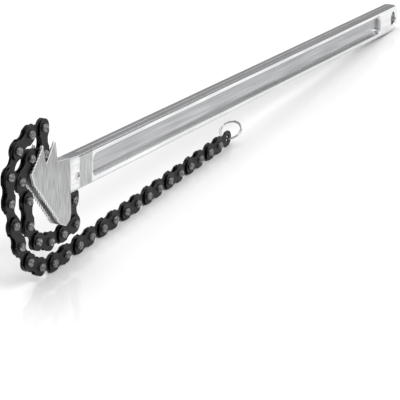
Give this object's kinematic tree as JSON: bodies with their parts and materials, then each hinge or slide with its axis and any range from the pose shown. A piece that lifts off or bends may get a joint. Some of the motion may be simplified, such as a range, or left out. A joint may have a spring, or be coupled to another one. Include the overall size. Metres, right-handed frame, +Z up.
{
  "type": "chain pipe wrench",
  "caption": "Chain pipe wrench: an I-section handle with a slotted, toothed head and hook notch, and a flat plate chain with a pull ring.",
  "frame": {"origin": "middle of the whole wrench at the height of the surface it stands on, in the chain's plane", "axes": "+X from the head to the hang hole, +Z up, +Y to the far side"},
  "size_m": [0.6442, 0.0166, 0.099],
  "materials": {
    "plated_forging": "satin nickel plate",
    "ground_steel": "ground, matte",
    "anchor_steel": "riveted and ground flush",
    "chain_plates": "black oxide, oiled",
    "pin_steel": "worn black oxide",
    "ring_wire": "bright"
  },
  "bodies": {
    "handle": {"handle": "plated_forging", "near_cheek": "ground_steel", "far_cheek": "ground_steel", "head_core": "ground_steel", "anchor_pin": "anchor_steel"},
    "link_01": {"outer_link_01": "chain_plates", "pins_01": "pin_steel"},
    "link_02": {"inner_link_02": "chain_plates"},
    "link_03": {"outer_link_03": "chain_plates", "pins_03": "pin_steel"},
    "link_04": {"inner_link_04": "chain_plates"},
    "link_05": {"outer_link_05": "chain_plates", "pins_05": "pin_steel"},
    "link_06": {"inner_link_06": "chain_plates"},
    "link_07": {"outer_link_07": "chain_plates", "pins_07": "pin_steel"},
    "link_08": {"inner_link_08": "chain_plates"},
    "link_09": {"outer_link_09": "chain_plates", "pins_09": "pin_steel"},
    "link_10": {"inner_link_10": "chain_plates"},
    "link_11": {"outer_link_11": "chain_plates", "pins_11": "pin_steel"},
    "link_12": {"inner_link_12": "chain_plates"},
    "link_13": {"outer_link_13": "chain_plates", "pins_13": "pin_steel"},
    "link_14": {"inner_link_14": "chain_plates"},
    "link_15": {"outer_link_15": "chain_plates", "pins_15": "pin_steel"},
    "link_16": {"inner_link_16": "chain_plates"},
    "link_17": {"outer_link_17": "chain_plates", "pins_17": "pin_steel"},
    "link_18": {"inner_link_18": "chain_plates"},
    "link_19": {"outer_link_19": "chain_plates", "pins_19": "pin_steel"},
    "link_20": {"inner_link_20": "chain_plates"},
    "link_21": {"outer_link_21": "chain_plates", "pins_21": "pin_steel"},
    "link_22": {"inner_link_22": "chain_plates"},
    "link_23": {"outer_link_23": "chain_plates", "pins_23": "pin_steel"},
    "link_24": {"inner_link_24": "chain_plates"},
    "link_25": {"outer_link_25": "chain_plates", "pins_25": "pin_steel"},
    "link_26": {"inner_link_26": "chain_plates"},
    "link_27": {"outer_link_27": "chain_plates", "pins_27": "pin_steel"},
    "link_28": {"inner_link_28": "chain_plates"},
    "link_29": {"outer_link_29": "chain_plates", "pins_29": "pin_steel"},
    "link_30": {"inner_link_30": "chain_plates"},
    "link_31": {"outer_link_31": "chain_plates", "pins_31": "pin_steel"},
    "link_32": {"inner_link_32": "chain_plates"},
    "link_33": {"outer_link_33": "chain_plates", "pins_33": "pin_steel"},
    "link_34": {"inner_link_34": "chain_plates"},
    "link_35": {"outer_link_35": "chain_plates", "pins_35": "pin_steel"},
    "link_36": {"inner_link_36": "chain_plates"},
    "ring": {"pull_ring": "ring_wire"}
  },
  "joints": [
    {"name": "link_01_hinge", "type": "hinge", "parent": "handle", "child": "link_01", "pos_m": [-0.24163, 0, 0.0525], "axis": [0, -1, 0], "range_deg": [-3, 0.15]},
    {"name": "link_02_hinge", "type": "hinge", "parent": "link_01", "child": "link_02", "pos_m": [-0.24135, 0, 0.03663], "axis": [0, 1, 0], "range_deg": [-0.15, 0.15]},
    {"name": "link_03_hinge", "type": "hinge", "parent": "link_02", "child": "link_03", "pos_m": [-0.24025, 0, 0.02079], "axis": [0, -1, 0], "range_deg": [0, 0.1]},
    {"name": "link_04_hinge", "type": "hinge", "parent": "link_03", "child": "link_04", "pos_m": [-0.2561, 0, 0.01996], "axis": [0, 1, 0], "range_deg": [-0.1, 0]},
    {"name": "link_05_hinge", "type": "hinge", "parent": "link_04", "child": "link_05", "pos_m": [-0.27197, 0, 0.02051], "axis": [0, -1, 0], "range_deg": [0, 0.1]},
    {"name": "link_06_hinge", "type": "hinge", "parent": "link_05", "child": "link_06", "pos_m": [-0.28688, 0, 0.02594], "axis": [0, 1, 0], "range_deg": [-0.15, 0]},
    {"name": "link_07_hinge", "type": "hinge", "parent": "link_06", "child": "link_07", "pos_m": [-0.29599, 0, 0.03895], "axis": [0, -1, 0], "range_deg": [0, 0.25]},
    {"name": "link_08_hinge", "type": "hinge", "parent": "link_07", "child": "link_08", "pos_m": [-0.29654, 0, 0.05481], "axis": [0, 1, 0], "range_deg": [-0.5, 0]},
    {"name": "link_09_hinge", "type": "hinge", "parent": "link_08", "child": "link_09", "pos_m": [-0.304, 0, 0.06883], "axis": [0, -1, 0], "range_deg": [0, 0.7]},
    {"name": "link_10_hinge", "type": "hinge", "parent": "link_09", "child": "link_10", "pos_m": [-0.29183, 0, 0.07903], "axis": [0, 1, 0], "range_deg": [-0.7, 0.1]},
    {"name": "link_11_hinge", "type": "hinge", "parent": "link_10", "child": "link_11", "pos_m": [-0.27608, 0, 0.0771], "axis": [0, -1, 0], "range_deg": [-30, 1.5]},
    {"name": "link_12_hinge", "type": "hinge", "parent": "link_11", "child": "link_12", "pos_m": [-0.27552, 0, 0.09297], "axis": [0, 1, 0], "range_deg": [-1.5, 30]},
    {"name": "link_13_hinge", "type": "hinge", "parent": "link_12", "child": "link_13", "pos_m": [-0.29139, 0, 0.09352], "axis": [0, -1, 0], "range_deg": [-30, 1.4]},
    {"name": "link_14_hinge", "type": "hinge", "parent": "link_13", "child": "link_14", "pos_m": [-0.30631, 0, 0.08809], "axis": [0, 1, 0], "range_deg": [-1.4, 30]},
    {"name": "link_15_hinge", "type": "hinge", "parent": "link_14", "child": "link_15", "pos_m": [-0.31608, 0, 0.07558], "axis": [0, -1, 0], "range_deg": [-30, 1.3]},
    {"name": "link_16_hinge", "type": "hinge", "parent": "link_15", "child": "link_16", "pos_m": [-0.31663, 0, 0.05971], "axis": [0, 1, 0], "range_deg": [-1.3, 30]},
    {"name": "link_17_hinge", "type": "hinge", "parent": "link_16", "child": "link_17", "pos_m": [-0.31226, 0, 0.04445], "axis": [0, -1, 0], "range_deg": [-30, 1.3]},
    {"name": "link_18_hinge", "type": "hinge", "parent": "link_17", "child": "link_18", "pos_m": [-0.30631, 0, 0.02974], "axis": [0, 1, 0], "range_deg": [-1.4, 30]},
    {"name": "link_19_hinge", "type": "hinge", "parent": "link_18", "child": "link_19", "pos_m": [-0.29721, 0, 0.01673], "axis": [0, -1, 0], "range_deg": [-30, 1.4]},
    {"name": "link_20_hinge", "type": "hinge", "parent": "link_19", "child": "link_20", "pos_m": [-0.2836, 0, 0.00856], "axis": [0, 1, 0], "range_deg": [-1.5, 30]},
    {"name": "link_21_hinge", "type": "hinge", "parent": "link_20", "child": "link_21", "pos_m": [-0.26802, 0, 0.00553], "axis": [0, -1, 0], "range_deg": [-30, 1.6]},
    {"name": "link_22_hinge", "type": "hinge", "parent": "link_21", "child": "link_22", "pos_m": [-0.25214, 0, 0.00553], "axis": [0, 1, 0], "range_deg": [-1.7, 30]},
    {"name": "link_23_hinge", "type": "hinge", "parent": "link_22", "child": "link_23", "pos_m": [-0.23627, 0, 0.00553], "axis": [0, -1, 0], "range_deg": [-30, 1.8]},
    {"name": "link_24_hinge", "type": "hinge", "parent": "link_23", "child": "link_24", "pos_m": [-0.22039, 0, 0.00553], "axis": [0, 1, 0], "range_deg": [-1.9, 30]},
    {"name": "link_25_hinge", "type": "hinge", "parent": "link_24", "child": "link_25", "pos_m": [-0.20452, 0, 0.00553], "axis": [0, -1, 0], "range_deg": [-30, 2.1]},
    {"name": "link_26_hinge", "type": "hinge", "parent": "link_25", "child": "link_26", "pos_m": [-0.18864, 0, 0.00553], "axis": [0, 1, 0], "range_deg": [-2.3, 30]},
    {"name": "link_27_hinge", "type": "hinge", "parent": "link_26", "child": "link_27", "pos_m": [-0.17277, 0, 0.00553], "axis": [0, -1, 0], "range_deg": [-30, 2.5]},
    {"name": "link_28_hinge", "type": "hinge", "parent": "link_27", "child": "link_28", "pos_m": [-0.15689, 0, 0.00553], "axis": [0, 1, 0], "range_deg": [-2.7, 30]},
    {"name": "link_29_hinge", "type": "hinge", "parent": "link_28", "child": "link_29", "pos_m": [-0.14102, 0, 0.00553], "axis": [0, -1, 0], "range_deg": [-30, 3.1]},
    {"name": "link_30_hinge", "type": "hinge", "parent": "link_29", "child": "link_30", "pos_m": [-0.12514, 0, 0.00553], "axis": [0, 1, 0], "range_deg": [-3.5, 30]},
    {"name": "link_31_hinge", "type": "hinge", "parent": "link_30", "child": "link_31", "pos_m": [-0.10927, 0, 0.00553], "axis": [0, -1, 0], "range_deg": [-30, 4]},
    {"name": "link_32_hinge", "type": "hinge", "parent": "link_31", "child": "link_32", "pos_m": [-0.09339, 0, 0.00553], "axis": [0, 1, 0], "range_deg": [-4.7, 30]},
    {"name": "link_33_hinge", "type": "hinge", "parent": "link_32", "child": "link_33", "pos_m": [-0.07752, 0, 0.00553], "axis": [0, -1, 0], "range_deg": [-45, 5.7]},
    {"name": "link_34_hinge", "type": "hinge", "parent": "link_33", "child": "link_34", "pos_m": [-0.06164, 0, 0.00553], "axis": [0, 1, 0], "range_deg": [-7.2, 45]},
    {"name": "link_35_hinge", "type": "hinge", "parent": "link_34", "child": "link_35", "pos_m": [-0.04577, 0, 0.00553], "axis": [0, -1, 0], "range_deg": [-45, 9.8]},
    {"name": "link_36_hinge", "type": "hinge", "parent": "link_35", "child": "link_36", "pos_m": [-0.02989, 0, 0.00553], "axis": [0, 1, 0], "range_deg": [-15.5, 45]},
    {"name": "ring_swing", "type": "hinge", "parent": "link_36", "child": "ring", "pos_m": [-0.01401, 0, 0.00553], "axis": [0, -1, 0], "range_deg": [-50, 85]}
  ]
}
